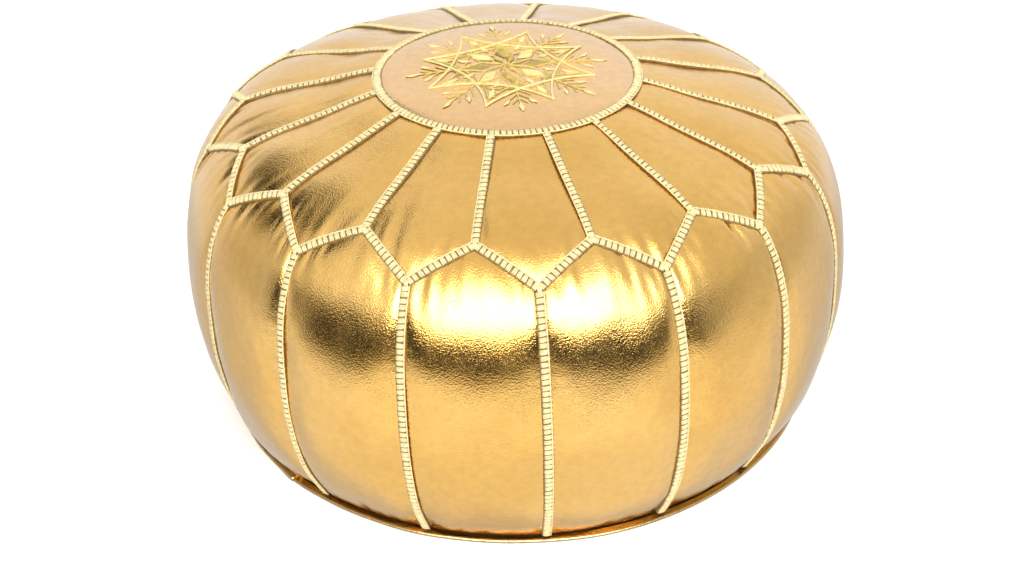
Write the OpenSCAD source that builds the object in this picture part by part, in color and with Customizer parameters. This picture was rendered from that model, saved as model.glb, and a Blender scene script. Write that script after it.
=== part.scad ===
// Moroccan leather pouf: a round stuffed floor seat with an embroidered top.
// Origin: middle of the underside, on the floor. +Z is up, and one side seam faces -Y.
// The zip across the base runs along X.

/* [Pouf] */
// Diameter of the leather at its widest
pouf_d = 560; // [420:5:700]
// Height from the floor to the middle of the top
pouf_h = 300; // [240:5:380]
// Panels round the top, with as many round the side
panel_count = 16; // [12:2:20]
// Thickness of the leather
leather_t = 1.4; // [1:0.1:2]

/* [Medallion] */
// Diameter of the embroidered disc, to the middle of its braid
medallion_d = 216; // [160:2:240]
// Points of the embroidered star
star_points = 8; // [6:1:12]
// Width of the embroidered outlines
stroke_w = 3; // [2:0.5:4]
// Height of the embroidery above the leather
stroke_h = 1; // [0.5:0.1:1.5]

/* [Braid] */
// Width of the braided seams
braid_w = 7; // [5:0.5:9]
// Height of the braid above the leather
braid_h = 2.2; // [1.2:0.1:3]

/* [Base] */
// Height of the folded welt round the foot
welt_h = 3.2; // [2.6:0.1:5]
// How far the welt stands out past the side seam
welt_reach = 9; // [6:0.5:12]
// How far the middle of the base is drawn up off the floor
recess_h = 7; // [7:0.5:12]
// Length of the zip
zip_l = 300; // [220:4:320]

/* [Hidden] */
$fn = 96;
pouf_r = pouf_d / 2;
step_a = 360 / panel_count;
half_a = step_a / 2;
front_a = -90;
far = pouf_d;
seam_gap = 0.3;
braid_lift = 0.05;

// Outline of the stuffed cover, from the middle of the top to the foot,
// as fractions of the radius and of the height
KNOTS = [
    [0, 1], [0.214, 0.993], [0.386, 0.975], [0.554, 0.932], [0.729, 0.887], [0.85, 0.833],
    [0.936, 0.743], [0.985, 0.617], [1, 0.467], [0.993, 0.307], [0.95, 0.14], [0.857, -0.02]
];
spans = len(KNOTS) - 1;
steps = 3;
foot_z = welt_h + seam_gap;
foot_r = pouf_r * 0.871;

// The zigzag shoulder seam peaks on each top seam and dips to each side seam
peak_r = 0.8 * pouf_r;
dip_r = 0.9 * pouf_r;

medallion_r = medallion_d / 2;
ring_w = braid_w + 1;
star_r = 0.66 * medallion_r;
star_notch_r = 0.39 * medallion_r;
spray_r = 0.68 * medallion_r;
star_turn = 27;

lining_t = 0.8;
lining_gap = 0.3;
lining_z = recess_h + 5.6;

base_flat_r = 0.6 * pouf_r;
base_foot_r = 0.72 * pouf_r;
welt_in_r = foot_r - 4;
welt_out_r = foot_r + welt_reach;

slot_w = 11;
tape_z = recess_h + leather_t;
tape_t = 0.8;
tape_w = 16;
tape_y = 2.3;
tooth_pitch = 3;
tooth_l = 1.7;
tooth_y = 0.8;
tooth_w = 2.7;
tooth_h = 1.8;
tooth_z = tape_z + tape_t / 2 - tooth_h / 2;
tooth_count = floor((zip_l - 14) / tooth_pitch);
stop_l = 3.5;
slider_l = 12;
slider_w = 8.8;
plate_t = 1.3;
plate_gap = 0.5;
slider_x = zip_l / 2 - 11;
lower_z = tooth_z - plate_gap - plate_t;
upper_z = tooth_z + tooth_h + plate_gap;
pin_r = 0.8;
pin_z = lower_z - 2.3;
lug_y = 1.6;
lug_t = 1.2;
eye_r = 1.9;
pull_l = 25;
pull_w = 6.4;
pull_t = 1.2;
running = 0.06;

function pad2(i) = i < 10 ? str("0", i) : str(i);
function numbered(stem) = [for (i = [1:panel_count]) str(stem, pad2(i))];
TOP_PANELS = numbered("top_panel_");
SIDE_PANELS = numbered("side_panel_");

// ---- outline of the cover ----

function knot(i) = let (k = KNOTS[max(0, min(spans, i))]) [k.x * pouf_r, k.y * pouf_h];
function blend(a, b, c, d, t) =
    0.5 * (2 * b + (c - a) * t + (2 * a - 5 * b + 4 * c - d) * t * t
        + (3 * b - a - 3 * c + d) * t * t * t);
function spline_at(i, t) = blend(knot(i - 1), knot(i), knot(i + 1), knot(i + 2), t);
OUTLINE = concat(
    [for (i = [0:spans - 1]) for (s = [0:steps - 1]) spline_at(i, s / steps)],
    [knot(spans)]
);
last = len(OUTLINE) - 1;
function run(i) = OUTLINE[min(last, i + 1)] - OUTLINE[max(0, i - 1)];
function outward(i) = i == 0 ? [0, 1] : [-run(i).y, run(i).x] / norm(run(i));
function outline_at(d) = [for (i = [0:last]) OUTLINE[i] + d * outward(i)];
function reversed(list) = [for (i = [len(list) - 1:-1:0]) list[i]];

UPPER_OUTLINE = [for (p = OUTLINE) if (p.y > 0.5 * pouf_h) p];
function top_z(r) = lookup(r, UPPER_OUTLINE);
function polar(r, a, z) = [r * cos(a), r * sin(a), z];
function peak(a) = polar(peak_r, a, top_z(peak_r));
function dip(a) = polar(dip_r, a, top_z(dip_r));

// Height on the axis that the seam's planes pass through, so that they cut
// the shoulder squarely
shoulder_slope = (top_z(dip_r) - top_z(peak_r)) / (dip_r - peak_r);
pivot = [0, 0, (top_z(peak_r) + top_z(dip_r)) / 2 + (peak_r + dip_r) / 2 / shoulder_slope];

// ---- cutting shapes ----

// The skin between two distances from the outline
module cover_shell(low, high) {
    rotate_extrude()
        polygon(concat(outline_at(high), reversed(outline_at(low))));
}

// All the space inside the outline, from a given height up
module cover_core(inset, floor_z) {
    intersection() {
        rotate_extrude()
            polygon(concat(outline_at(-inset), [[0, knot(spans).y]]));
        translate([-far, -far, floor_z])
            cube([2 * far, 2 * far, far]);
    }
}

// A sector centred on +X, drawn in by half the gap on each side
module wedge(half, gap) {
    translate([gap / 2 / sin(half), 0, -far])
        linear_extrude(2 * far)
            polygon([[0, 0], [far, far * tan(half)], [far, -far * tan(half)]]);
}

module above_floor(z) {
    translate([-far, -far, z])
        cube([2 * far, 2 * far, far]);
}

module outside_ring(r) {
    difference() {
        cylinder(h = 3 * far, r = 2 * far, center = true);
        cylinder(h = 4 * far, r = r, center = true);
    }
}

// The half space on one side of the plane through two seam points and the pivot:
// side 1 is above the seam, side -1 below it
module seam_half(a, b, side, shift) {
    n = cross(a - pivot, b - pivot);
    up = n * (n.z > 0 ? side : -side) / norm(n);
    translate(pivot + up * shift)
        rotate([0, acos(up.z), atan2(up.y, up.x)])
            translate([-2 * far, -2 * far, 0])
                cube([4 * far, 4 * far, 4 * far]);
}

// Above both sides of a dip on +X
module over_dip(shift) {
    intersection() {
        seam_half(peak(half_a), dip(0), 1, shift);
        seam_half(peak(-half_a), dip(0), 1, shift);
    }
}

// Below both sides of a peak on +X
module under_peak(shift) {
    intersection() {
        seam_half(peak(0), dip(half_a), -1, shift);
        seam_half(peak(0), dip(-half_a), -1, shift);
    }
}

// ---- cover ----

// One petal of the top: from the medallion's braid out to its point at a side seam
module top_panel(i) {
    color("#dcb173")
        rotate([0, 0, front_a + i * step_a])
            intersection() {
                cover_shell(-leather_t, 0);
                wedge(half_a, seam_gap);
                over_dip(seam_gap / 2);
                outside_ring(medallion_r + seam_gap / 2);
            }
}

// One panel of the side: its peak meets a top seam, its foot meets the welt
module side_panel(i) {
    color("#d2a45c")
        rotate([0, 0, front_a + (i - 0.5) * step_a])
            intersection() {
                cover_shell(-leather_t, 0);
                wedge(half_a, seam_gap);
                under_peak(seam_gap / 2);
                above_floor(foot_z);
            }
}

module top_medallion() {
    color("#eccb98")
        intersection() {
            cover_shell(-leather_t, 0);
            cylinder(h = 2 * far, r = medallion_r - seam_gap / 2);
        }
}

// ---- embroidery ----

function star(tip_r, notch_r) = [
    for (i = [0:2 * star_points - 1])
        let (r = i % 2 == 0 ? tip_r : notch_r, a = i * 180 / star_points)
            [r * cos(a), r * sin(a)]
];

module lozenge(length, width) {
    polygon([[-length / 2, 0], [0, -width / 2], [length / 2, 0], [0, width / 2]]);
}

module star_band(tip_r, notch_r) {
    difference() {
        polygon(star(tip_r, notch_r));
        polygon(star(tip_r - 2.2 * stroke_w, notch_r - stroke_w));
    }
}

module star_pattern() {
    star_band(star_r, star_notch_r);
    for (i = [0:star_points - 1])
        rotate(i * 360 / star_points) {
            translate([star_notch_r * 0.62, 0])
                lozenge(star_notch_r * 0.6, star_notch_r * 0.26);
            rotate(180 / star_points)
                translate([spray_r, 0])
                    lozenge(0.16 * medallion_r, 0.09 * medallion_r);
        }
}

module medallion_embroidery() {
    color("#d8b85a")
        intersection() {
            cover_shell(braid_lift, stroke_h);
            rotate([0, 0, front_a + star_turn])
                linear_extrude(2 * far)
                    star_pattern();
        }
}

// ---- braided seams ----

module medallion_braid() {
    color("#e9dcb4")
        intersection() {
            cover_shell(braid_lift, braid_h);
            cylinder(h = 2 * far, r = medallion_r + ring_w / 2);
            outside_ring(medallion_r - ring_w / 2);
        }
}

// A strip of the braid's width that runs out along +X
module strip() {
    translate([0, -braid_w / 2, -far])
        cube([2 * far, braid_w, 3 * far]);
}

module radial_braids() {
    color("#e9dcb4")
        for (i = [1:panel_count])
            rotate([0, 0, front_a + (i - 0.5) * step_a])
                difference() {
                    intersection() {
                        cover_shell(braid_lift, braid_h);
                        strip();
                        outside_ring(medallion_r + ring_w / 2 + seam_gap);
                    }
                    under_peak(-braid_w / 2 - seam_gap);
                }
}

// One zigzag stroke: from the peak on +X to the dip on the given side
module shoulder_stroke(side) {
    intersection() {
        cover_shell(braid_lift, braid_h);
        rotate([0, 0, side * half_a / 2])
            wedge(half_a / 2, seam_gap);
        seam_half(peak(0), dip(side * half_a), 1, -braid_w / 2);
        seam_half(peak(0), dip(side * half_a), -1, -braid_w / 2);
    }
}

module shoulder_braid() {
    color("#e9dcb4")
        for (i = [1:panel_count])
            rotate([0, 0, front_a + (i - 0.5) * step_a]) {
                shoulder_stroke(1);
                shoulder_stroke(-1);
            }
}

module side_braids() {
    color("#e9dcb4")
        for (i = [1:panel_count])
            rotate([0, 0, front_a + i * step_a])
                difference() {
                    intersection() {
                        cover_shell(braid_lift, braid_h);
                        strip();
                        above_floor(foot_z);
                    }
                    over_dip(-braid_w / 2 - seam_gap);
                }
}

// ---- base ----

// Folded strip of leather round the foot, with a rounded outer fold
module base_welt() {
    fold_r = welt_h / 2;
    color("#c99a55")
        rotate_extrude()
            polygon(concat(
                [[welt_in_r, welt_h], [welt_in_r, 0]],
                [for (a = [-90:15:90])
                    [welt_out_r - fold_r + fold_r * cos(a), fold_r + fold_r * sin(a)]]
            ));
}

// Half of the base: flat on the floor near its rim, drawn up round the zip
module base_half(side) {
    rim_r = welt_in_r - seam_gap;
    color("#a5793f")
        difference() {
            intersection() {
                rotate_extrude()
                    polygon([
                        [0, recess_h], [base_flat_r, recess_h], [base_foot_r, 0], [rim_r, 0],
                        [rim_r, leather_t], [base_foot_r, leather_t],
                        [base_flat_r, recess_h + leather_t], [0, recess_h + leather_t]
                    ]);
                translate([-far, side > 0 ? seam_gap / 2 : -far - seam_gap / 2, -far])
                    cube([2 * far, far, 2 * far]);
            }
            translate([-zip_l / 2 - 4, -slot_w / 2, -far])
                cube([zip_l + 8, slot_w, 2 * far]);
        }
}

module base_panel_front() { base_half(-1); }
module base_panel_back() { base_half(1); }

// ---- zip ----

// Draws its children, built on the +Y side, on the chosen side
module on_side(side) {
    mirror([0, side < 0 ? 1 : 0, 0])
        children();
}

module tape_block(grow) {
    translate([-zip_l / 2 - 10, tape_y, tape_z - grow])
        cube([zip_l + 20, tape_w, tape_t + 2 * grow]);
}

module zip_tape(side) {
    color("#8a6a3c")
        on_side(side)
            tape_block(0);
}

module zip_tape_front() { zip_tape(-1); }
module zip_tape_back() { zip_tape(1); }

// One row of teeth, clamped on the tape's edge; the back row sits half a pitch along
module zip_teeth(side) {
    first_x = -zip_l / 2 + 8 + (side > 0 ? tooth_pitch / 2 : 0);
    color("#b08d4a")
        on_side(side)
            difference() {
                for (i = [0:tooth_count - 1])
                    translate([first_x + i * tooth_pitch - tooth_l / 2, tooth_y, tooth_z])
                        cube([tooth_l, tooth_w, tooth_h]);
                tape_block(0);
            }
}

module zip_teeth_front() { zip_teeth(-1); }
module zip_teeth_back() { zip_teeth(1); }

module stop_block(x, y0, y1) {
    translate([x, y0, tooth_z - 0.1])
        cube([stop_l, y1 - y0, tooth_h + 0.2]);
}

module zip_top_stops() {
    color("#b08d4a")
        for (side = [-1, 1])
            on_side(side)
                difference() {
                    stop_block(zip_l / 2 - stop_l, tooth_y, tooth_y + tooth_w + 0.4);
                    tape_block(0);
                }
}

module zip_bottom_stop() {
    reach = tooth_y + tooth_w + 0.4;
    color("#b08d4a")
        difference() {
            stop_block(-zip_l / 2 + 2, -reach, reach);
            tape_block(0);
            mirror([0, 1, 0]) tape_block(0);
        }
}

// Shield outline of the slider's plates, with its nose towards +X
module shield(width) {
    nose = 0.6 * width;
    linear_extrude(plate_t)
        polygon([
            [-slider_l / 2, -width / 2], [slider_l / 5, -width / 2], [slider_l / 2, -nose / 2],
            [slider_l / 2, nose / 2], [slider_l / 5, width / 2], [-slider_l / 2, width / 2]
        ]);
}

// Two plates joined by a post that runs between the teeth, and two lugs with
// the pin that the pull hangs on
module zip_slider() {
    color("#c8a45a")
        translate([slider_x, 0, 0]) {
            translate([0, 0, lower_z])
                shield(slider_w);
            translate([0, 0, upper_z])
                shield(slider_w);
            translate([-1.5, -0.5, lower_z + plate_t / 2])
                cube([3, 1, upper_z - lower_z]);
            for (side = [-1, 1])
                on_side(side)
                    translate([-2, lug_y, pin_z - 1.1])
                        cube([4, lug_t, lower_z - pin_z + 1.1 + plate_t / 2]);
            translate([0, lug_y + lug_t / 2, pin_z])
                rotate([90, 0, 0])
                    cylinder(h = 2 * lug_y + lug_t, r = pin_r);
        }
}

// Tab that hangs on the slider's pin, lying flat under the base towards -X
module zip_pull() {
    eye_w = 2 * lug_y - 0.6;
    color("#c8a45a")
        translate([slider_x, 0, pin_z])
            difference() {
                union() {
                    translate([0, eye_w / 2, 0])
                        rotate([90, 0, 0])
                            cylinder(h = eye_w, r = eye_r);
                    translate([-4, -eye_w / 2, -pull_t / 2])
                        cube([4, eye_w, pull_t]);
                    translate([-pull_l + pull_w / 2, -pull_w / 2, -pull_t / 2])
                        cube([pull_l - pull_w / 2 - 3.2, pull_w, pull_t]);
                    translate([-pull_l + pull_w / 2, 0, -pull_t / 2])
                        cylinder(h = pull_t, r = pull_w / 2);
                }
                rotate([90, 0, 0])
                    cylinder(h = 2 * eye_w, r = pin_r + running, center = true);
                translate([-pull_l + pull_w / 2, 0, 0])
                    cylinder(h = 2 * pull_t, r = 1.6, center = true);
            }
}

// ---- inside ----

module lining_upper() {
    color("#efe6d0")
        intersection() {
            cover_shell(-leather_t - lining_gap - lining_t, -leather_t - lining_gap);
            above_floor(lining_z + lining_t + 0.1);
        }
}

module lining_base() {
    color("#efe6d0")
        intersection() {
            cover_core(leather_t + lining_gap, lining_z);
            translate([0, 0, lining_z - 1])
                cylinder(h = lining_t + 1, r = far);
        }
}

module stuffing() {
    color("#f4f1ea")
        cover_core(leather_t + 2 * lining_gap + lining_t, lining_z + lining_t + 0.1);
}

for (i = [1:panel_count])
    top_panel(i);
for (i = [1:panel_count])
    side_panel(i);
top_medallion();
medallion_embroidery();
medallion_braid();
radial_braids();
shoulder_braid();
side_braids();
base_welt();
base_panel_front();
base_panel_back();
zip_tape_front();
zip_tape_back();
zip_teeth_front();
zip_teeth_back();
zip_top_stops();
zip_bottom_stop();
zip_slider();
zip_pull();
lining_upper();
lining_base();
stuffing();
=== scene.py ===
"""Moroccan leather pouf: the looks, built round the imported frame. Metres, +Z up."""
import math

import bpy
import numpy as np
from mathutils import Matrix, Vector


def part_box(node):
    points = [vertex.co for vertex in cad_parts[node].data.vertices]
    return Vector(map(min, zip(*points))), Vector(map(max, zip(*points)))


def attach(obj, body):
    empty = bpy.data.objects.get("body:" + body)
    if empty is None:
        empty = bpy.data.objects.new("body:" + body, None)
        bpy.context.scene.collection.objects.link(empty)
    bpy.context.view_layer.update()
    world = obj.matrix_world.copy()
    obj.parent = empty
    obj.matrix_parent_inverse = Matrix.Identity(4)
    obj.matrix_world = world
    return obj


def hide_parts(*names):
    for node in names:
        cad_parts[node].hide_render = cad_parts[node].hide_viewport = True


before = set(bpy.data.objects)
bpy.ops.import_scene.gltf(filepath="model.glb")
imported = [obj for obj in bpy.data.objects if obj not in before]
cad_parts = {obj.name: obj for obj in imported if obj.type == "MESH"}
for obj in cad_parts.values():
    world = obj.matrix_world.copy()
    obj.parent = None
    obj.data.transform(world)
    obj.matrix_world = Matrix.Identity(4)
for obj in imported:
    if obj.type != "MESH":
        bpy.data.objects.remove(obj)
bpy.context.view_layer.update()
MM = 0.001
rng = np.random.default_rng(7)


def node_points(name):
    """The vertices of a CAD node, in metres."""
    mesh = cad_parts[name].data
    flat = np.zeros(len(mesh.vertices) * 3, np.float32)
    mesh.vertices.foreach_get("co", flat)
    return flat.reshape(-1, 3).astype(float)


def radii(name):
    """The smallest and largest distance of a node's vertices from the Z axis."""
    distance = np.hypot(*node_points(name)[:, :2].T)
    return distance.min(), distance.max()


# ---------------------------------------------------------------- driving sizes
PANELS = sum(name.startswith("top_panel_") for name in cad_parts)
STEP = 2 * math.pi / PANELS
HALF = STEP / 2
FRONT = -math.pi / 2
POUF_R = radii("side_panel_01")[1]
POUF_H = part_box("top_medallion")[1].z
RING_R = sum(radii("medallion_braid")) / 2
PEAK_R = 0.8 * POUF_R
DIP_R = 0.9 * POUF_R
WELT_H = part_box("base_welt")[1].z
WELT_OUT = radii("base_welt")[1]
FOOT_R = 0.871 * POUF_R
LEATHER_T = 1.4 * MM
SEAM_SINK = 2.2 * MM
BRAID_W = 6.6 * MM
STITCH_PITCH = 4.75 * MM

# ---------------------------------------------------------------- outline
# From the middle of the top to the foot, as fractions of radius and height
KNOTS = np.array((
    (0, 1), (0.214, 0.993), (0.386, 0.975), (0.554, 0.932), (0.729, 0.887), (0.85, 0.833),
    (0.936, 0.743), (0.985, 0.617), (1, 0.467), (0.993, 0.307), (0.95, 0.14), (0.857, -0.02),
)) * (POUF_R, POUF_H)


def spline(knots, steps):
    """Catmull-Rom curve through the knots."""
    ends = np.vstack((knots[:1], knots, knots[-1:]))
    t = np.linspace(0, 1, steps, endpoint=False)[:, None]
    spans = []
    for a, b, c, d in zip(ends, ends[1:], ends[2:], ends[3:]):
        cubic = 3 * b - a - 3 * c + d
        square = 2 * a - 5 * b + 4 * c - d
        spans.append(0.5 * (2 * b + (c - a) * t + square * t**2 + cubic * t**3))
    return np.vstack(spans + [knots[-1:]])


OUTLINE = spline(KNOTS, 40)
RUN = np.gradient(OUTLINE, axis=0)
RUN[0] = (1, 0)
RUN /= np.linalg.norm(RUN, axis=1)[:, None]
NORMALS = np.stack((-RUN[:, 1], RUN[:, 0]), axis=1)
LENGTHS = np.concatenate(([0], np.cumsum(np.linalg.norm(np.diff(OUTLINE, axis=0), axis=1))))
UPPER = OUTLINE[:, 1] > POUF_H / 2


def at_radius(r):
    """Length along the outline where its upper part reaches a radius."""
    return np.interp(r, OUTLINE[UPPER, 0], LENGTHS[UPPER])


def at_height(z):
    """Length along the outline where its lower part comes down to a height."""
    lower = OUTLINE[:, 1] < POUF_H / 2
    return np.interp(-z, -OUTLINE[lower, 1], LENGTHS[lower])


def profile(s):
    """Radius, height and outward normal at a length along the outline."""
    columns = (OUTLINE[:, 0], OUTLINE[:, 1], NORMALS[:, 0], NORMALS[:, 1])
    return [np.interp(s, LENGTHS, column) for column in columns]


def settle(points):
    """The used pouf leans to the left, its foot is slightly oval and its back left
    shoulder is fuller."""
    x, y, z = np.moveaxis(points, -1, 0)
    share = np.clip(z / POUF_H, 0, 1)
    r = np.hypot(x, y) / POUF_R
    azimuth = np.arctan2(y, x)
    oval = 4 * MM * r**2 * (1 - share) * np.cos(2 * (azimuth + math.radians(105)))
    corner = np.exp(-((azimuth - math.radians(150)) / math.radians(35)) ** 2)
    full = 7 * MM * corner * r**3 * np.exp(-((share - 0.88) / 0.14) ** 2)
    lean = 7 * MM * share**1.7
    out = oval + full
    moved = (x + out * np.cos(azimuth) - lean, y + out * np.sin(azimuth), z + 0.5 * full)
    return np.stack(moved, axis=-1)


def place(s, azimuth, lift=0.0):
    """Points on the cover, raised along its outward normal."""
    r, z, nr, nz = profile(s)
    reach = r + lift * nr
    points = (reach * np.cos(azimuth), reach * np.sin(azimuth), z + lift * nz)
    return settle(np.stack(points, axis=-1))


def facing(s, azimuth):
    """Outward unit normals of the cover."""
    _, _, nr, nz = profile(s)
    return np.stack((nr * np.cos(azimuth), nr * np.sin(azimuth), nz + 0 * azimuth), axis=-1)


# ---------------------------------------------------------------- seams
RING_S = at_radius(RING_R)
PEAK_S = at_radius(PEAK_R)
DIP_S = at_radius(DIP_R)
FOOT_S = at_height(WELT_H + 0.3 * MM)


def shoulder_table(count=65):
    """Length along the outline of the zigzag seam, from a peak (0) to a dip (HALF)."""
    (peak_r, peak_z), (dip_r, dip_z) = [profile(s)[:2] for s in (PEAK_S, DIP_S)]
    slope = (dip_z - peak_z) / (dip_r - peak_r)
    pivot = np.array((0, 0, (peak_z + dip_z) / 2 + (peak_r + dip_r) / 2 / slope))
    peak = np.array((peak_r, 0, peak_z))
    dip = np.array((dip_r * math.cos(HALF), dip_r * math.sin(HALF), dip_z))
    normal = np.cross(peak - pivot, dip - pivot)
    s = np.linspace(PEAK_S - 0.02, DIP_S + 0.02, 400)
    offsets = np.linspace(0, HALF, count)
    r, z = profile(s)[:2]
    side = [(np.stack((r * math.cos(a), r * math.sin(a), z), axis=-1) - pivot) @ normal
            for a in offsets]
    order = np.sign(side[0][-1] - side[0][0])
    return offsets, np.array([np.interp(0, f * order, s) for f in side])


ZIGZAG = shoulder_table()


def zigzag_s(from_peak):
    """The zigzag seam's length along the outline at an angle from the nearest peak."""
    return np.interp(np.abs(from_peak), *ZIGZAG)


def peak_azimuth(i):
    return FRONT + (i - 0.5) * STEP


def dip_azimuth(i):
    return FRONT + i * STEP


# ---------------------------------------------------------------- mesh helpers
def mesh_object(name, points, faces, smooth=True):
    """A linked mesh object made from points and faces."""
    mesh = bpy.data.meshes.new(name)
    mesh.from_pydata(np.asarray(points).reshape(-1, 3).tolist(), [], faces)
    mesh.validate()
    if smooth:
        mesh.polygons.foreach_set("use_smooth", [True] * len(mesh.polygons))
    obj = bpy.data.objects.new(name, mesh)
    bpy.context.scene.collection.objects.link(obj)
    return obj


def grid_faces(rows, columns, around=False):
    """Quads over a grid of points; around closes each row on itself."""
    faces = []
    for i in range(rows - 1):
        for j in range(columns if around else columns - 1):
            k = (j + 1) % columns
            a, b = i * columns + j, i * columns + k
            faces.append((a, a + columns, b + columns, b))
    return faces


def refine(points, times):
    """Resamples a grid of points more finely along both its directions."""
    for axis in (0, 1):
        knots = np.moveaxis(points, axis, 0)
        shape = knots.shape
        fine = spline(knots.reshape(shape[0], -1), times)
        points = np.moveaxis(fine.reshape(-1, *shape[1:]), 0, axis)
    return points


def thicken(obj, thickness):
    """Gives a sheet its thickness, inwards from its outer face."""
    solid = obj.modifiers.new("thickness", "SOLIDIFY")
    solid.thickness = thickness
    solid.offset = -1
    solid.use_even_offset = False


def dress(obj, material):
    """Gives an object its one material."""
    obj.data.materials.clear()
    obj.data.materials.append(material)


def finish_piece(obj, material, node=None):
    """Materials, body, and the CAD node or nodes that the piece stands for."""
    dress(obj, material)
    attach(obj, "pouf")
    if node:
        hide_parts(*([node] if isinstance(node, str) else node))
    return obj


# ---------------------------------------------------------------- leather panels
COLUMNS = 20
TOP_ROWS = 22
SIDE_ROWS = 42
REFINE = 3


def eased(count, ease):
    """Steps from 0 to 1 that are a little closer together at both ends."""
    u = np.linspace(0, 1, count + 1)
    return (1 - ease) * u + ease * (0.5 - 0.5 * np.cos(math.pi * u))


def panel_layout(top):
    """Angle from the panel's centre and length along the outline, for a grid of points."""
    across = 2 * eased(COLUMNS, 0.5) - 1
    edge = zigzag_s(HALF * (1 - np.abs(across)) if top else HALF * across)
    down = eased(TOP_ROWS if top else SIDE_ROWS, 0.4)[:, None]
    s = RING_S + down * (edge - RING_S) if top else edge + down * (FOOT_S - edge)
    return across * HALF + 0 * s, s


LAYOUTS = {True: panel_layout(True), False: panel_layout(False)}


def panel_centre(top, i):
    return dip_azimuth(i) if top else peak_azimuth(i)


def is_seam(shape):
    """Marks the border of a grid, which is sewn down."""
    mask = np.zeros(shape, bool)
    mask[0] = mask[-1] = True
    mask[:, 0] = mask[:, -1] = True
    return mask


def joined_cover():
    """One welded sheet of all the panels, with the index grid of each panel."""
    points, seams, faces, grids, known = [], [], [], {}, {}
    for top in (True, False):
        offset, s = LAYOUTS[top]
        seam = is_seam(s.shape)
        for i in range(1, PANELS + 1):
            place_at = place(s, offset + panel_centre(top, i), -SEAM_SINK)
            index = np.empty(s.shape, int)
            for cell in np.ndindex(s.shape):
                key = tuple(np.round(place_at[cell] / (0.05 * MM)).astype(int))
                if not seam[cell] or key not in known:
                    known[key] = len(points)
                    points.append(place_at[cell])
                    seams.append(seam[cell])
                index[cell] = known[key]
            grids[top, i] = index
            for a, b, c, d in zip(*(corner.ravel() for corner in (
                    index[:-1, :-1], index[1:, :-1], index[1:, 1:], index[:-1, 1:]))):
                faces.append((int(a), int(b), int(c), int(d)))
    return np.array(points), np.array(seams), faces, grids


def soft_noise(points, wavelengths, amplitudes, seed):
    """Smooth seeded waves through space, as many as there are wavelengths."""
    waves = np.random.default_rng(seed)
    total = np.zeros(points.shape[:-1])
    for wavelength, amplitude in zip(wavelengths, amplitudes):
        direction = waves.normal(size=3)
        direction /= np.linalg.norm(direction)
        phase = waves.uniform(0, 2 * math.pi)
        total += amplitude * np.sin(points @ direction * 2 * math.pi / wavelength + phase)
    return total


def inflate(points, seams, faces):
    """Cloth simulation of the cover: sewn down along its seams, cut slightly large,
    and pressed outwards by the stuffing."""
    cover = mesh_object("cover_sim", points, faces)
    group = cover.vertex_groups.new(name="seams")
    group.add(np.flatnonzero(seams).tolist(), 1.0, "REPLACE")
    cloth = cover.modifiers.new("cloth", "CLOTH")
    setup = cloth.settings
    setup.quality = 5
    setup.mass = 0.25
    setup.tension_stiffness = 40
    setup.compression_stiffness = 40
    setup.shear_stiffness = 20
    setup.bending_stiffness = 1
    setup.air_damping = 4
    setup.use_pressure = True
    setup.uniform_pressure_force = 60
    setup.shrink_min = -0.02
    setup.vertex_group_mass = "seams"
    setup.pin_stiffness = 1
    setup.effector_weights.gravity = 0
    cloth.collision_settings.use_collision = False
    last = 24
    cloth.point_cache.frame_start = 1
    cloth.point_cache.frame_end = last
    for number in range(1, last + 1):
        bpy.context.scene.frame_set(number)
    settled = cover.evaluated_get(bpy.context.evaluated_depsgraph_get())
    flat = np.zeros(len(points) * 3, np.float32)
    settled.data.vertices.foreach_get("co", flat)
    bpy.data.objects.remove(cover)
    bpy.context.scene.frame_set(1)
    return flat.reshape(-1, 3).astype(float)


def normals_of(points):
    """Unit normals of a grid of points, to the outside of the pouf."""
    normal = np.cross(np.gradient(points, axis=1), np.gradient(points, axis=0))
    normal /= np.linalg.norm(normal, axis=-1)[..., None] + 1e-12
    outwards = np.sum(normal * points, axis=-1).mean()
    return normal * np.sign(outwards)


def hump(distance, reach):
    """Rises from nothing at a seam to 1 at the reach, then fades."""
    x = distance / reach
    return x * np.exp(1 - x)


def gathers(along, wavelengths, seed):
    """Seeded waves along a seam, of mean height 0 and size about 1."""
    waves = np.random.default_rng(seed)
    total = 0 * along
    for wavelength in wavelengths:
        phase = waves.uniform(0, 2 * math.pi)
        weight = waves.uniform(0.4, 1)
        total = total + weight * np.cos(2 * math.pi * along / wavelength + phase)
    return total / math.sqrt(len(wavelengths))


def pucker(top, i, offset, s):
    """Height of the small gathers beside the seams of one panel."""
    r = profile(s)[0]
    across = offset / HALF
    edge = zigzag_s(HALF * (1 - np.abs(across)) if top else HALF * across)
    from_shoulder = np.abs(s - edge)
    from_side = (1 - np.abs(across)) * HALF * r
    arc = offset * r
    seed = 100 * i + (50 if top else 0)
    inner = np.clip((1 - across**2) * 1.6, 0, 1)
    facing_front = 0.5 - 0.5 * math.sin(panel_centre(top, i))
    strength = (0.12 + 0.5 * facing_front**2 * np.random.default_rng(seed).uniform(0.6, 1.1)) * MM
    shoulder = strength * hump(from_shoulder, 11 * MM) * gathers(arc, PLEATS, seed)
    side = 0.07 * MM * hump(from_side, 4 * MM) * gathers(s, STITCH_PULLS, seed + 1)
    foot = 0.2 * MM * hump(FOOT_S - s, 9 * MM) * gathers(arc, PLEATS, seed + 2)
    return shoulder * inner + side + (0 if top else foot * inner)


PLEATS = (13 * MM, 17 * MM, 22 * MM, 29 * MM)
STITCH_PULLS = (7 * MM, 11 * MM, 16 * MM)


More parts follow.
